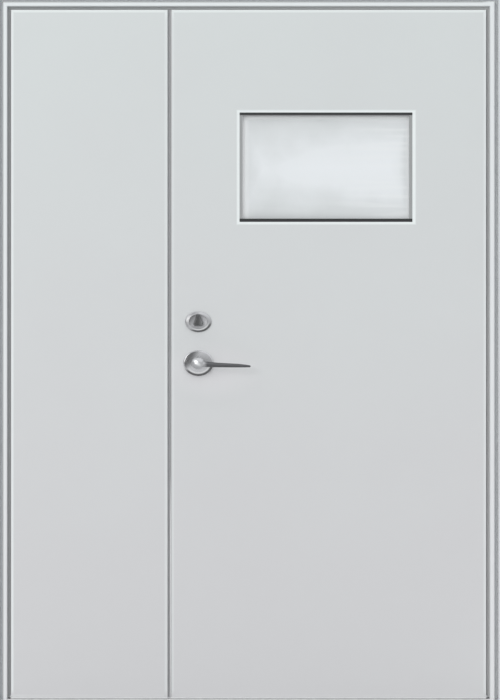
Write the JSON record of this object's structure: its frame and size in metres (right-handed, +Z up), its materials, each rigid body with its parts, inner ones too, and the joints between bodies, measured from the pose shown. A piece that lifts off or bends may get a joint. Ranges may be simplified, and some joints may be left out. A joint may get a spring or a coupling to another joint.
{
  "type": "unequal double door with frame",
  "caption": "Flush steel doorset: a narrow and a wide hinged leaf in a folded steel frame, the wide leaf with a frosted window, thumb-turn deadlock and lever handles.",
  "frame": {"origin": "middle of the threshold's underside, on the floor", "axes": "+Z up, +X to the right seen from the room side, -Y towards the room; both leaves swing away towards +Y"},
  "size_m": [1.509, 0.184, 2.112],
  "materials": {
    "frame_paint": "satin pale grey paint",
    "leaf_paint": "satin pale grey paint",
    "threshold_steel": "brushed stainless",
    "seal_rubber": "matt black",
    "gap_seal_rubber": "matt grey",
    "bottom_seal_rubber": "matt pale grey",
    "brush_pile": "matt grey pile",
    "hinge_steel": "zinc plated",
    "edge_steel": "satin stainless",
    "frosted_glass": "frosted",
    "spacer_metal": "mill finish",
    "window_rail": "matt black",
    "window_stile": "satin grey",
    "rose_metal": "satin nickel",
    "turn_rose_metal": "satin nickel",
    "lever_metal": "dark satin nickel",
    "turn_metal": "dark satin nickel",
    "cylinder_metal": "satin nickel"
  },
  "bodies": {
    "frame": {"left_jamb": "frame_paint", "right_jamb": "frame_paint", "head": "frame_paint", "threshold": "threshold_steel", "left_seal": "seal_rubber", "right_seal": "seal_rubber", "head_seal": "seal_rubber", "left_gap_seal": "gap_seal_rubber", "right_gap_seal": "gap_seal_rubber", "head_gap_seal": "gap_seal_rubber", "left_bottom_hinge_frame_half": "hinge_steel", "left_middle_hinge_frame_half": "hinge_steel", "left_top_hinge_frame_half": "hinge_steel", "right_bottom_hinge_frame_half": "hinge_steel", "right_middle_hinge_frame_half": "hinge_steel", "right_top_hinge_frame_half": "hinge_steel"},
    "small_leaf": {"small_front_pan": "leaf_paint", "small_back_pan": "leaf_paint", "small_bottom_seal": "bottom_seal_rubber", "meeting_brush": "brush_pile", "strike_plate": "edge_steel", "upper_flush_bolt": "edge_steel", "lower_flush_bolt": "edge_steel", "left_bottom_hinge_leaf_half": "hinge_steel", "left_middle_hinge_leaf_half": "hinge_steel", "left_top_hinge_leaf_half": "hinge_steel"},
    "main_leaf": {"main_front_pan": "leaf_paint", "main_back_pan": "leaf_paint", "main_bottom_seal": "bottom_seal_rubber", "front_pane": "frosted_glass", "back_pane": "frosted_glass", "pane_spacer": "spacer_metal", "front_window_rails": "window_rail", "front_window_stiles": "window_stile", "back_window_rails": "window_rail", "back_window_stiles": "window_stile", "lock_forend": "edge_steel", "lock_bolts": "edge_steel", "front_lever_rose": "rose_metal", "back_lever_rose": "rose_metal", "front_turn_rose": "turn_rose_metal", "back_cylinder_rose": "turn_rose_metal", "key_cylinder": "cylinder_metal", "right_bottom_hinge_leaf_half": "hinge_steel", "right_middle_hinge_leaf_half": "hinge_steel", "right_top_hinge_leaf_half": "hinge_steel"},
    "lever_set": {"front_lever": "lever_metal", "back_lever": "lever_metal", "lever_spindle": "edge_steel"},
    "turn": {"thumb_turn": "turn_metal"}
  },
  "joints": [
    {"name": "small_leaf_hinge", "type": "hinge", "parent": "frame", "child": "small_leaf", "pos_m": [-0.744, 0.031, 1.04], "axis": [0, 0, 1], "range_deg": [0, 110]},
    {"name": "main_leaf_hinge", "type": "hinge", "parent": "frame", "child": "main_leaf", "pos_m": [0.744, 0.031, 1.04], "axis": [0, 0, -1], "range_deg": [0, 110]},
    {"name": "lever_press", "type": "hinge", "parent": "main_leaf", "child": "lever_set", "pos_m": [-0.1505, 0.0045, 1.011], "axis": [0, 1, 0], "range_deg": [0, 45], "stiffness_Nm_per_rad": 1.5, "springref_deg": -28.65},
    {"name": "thumb_turn_rotate", "type": "hinge", "parent": "main_leaf", "child": "turn", "pos_m": [-0.1505, -0.03, 1.135], "axis": [0, 1, 0], "range_deg": [0, 90]}
  ]
}
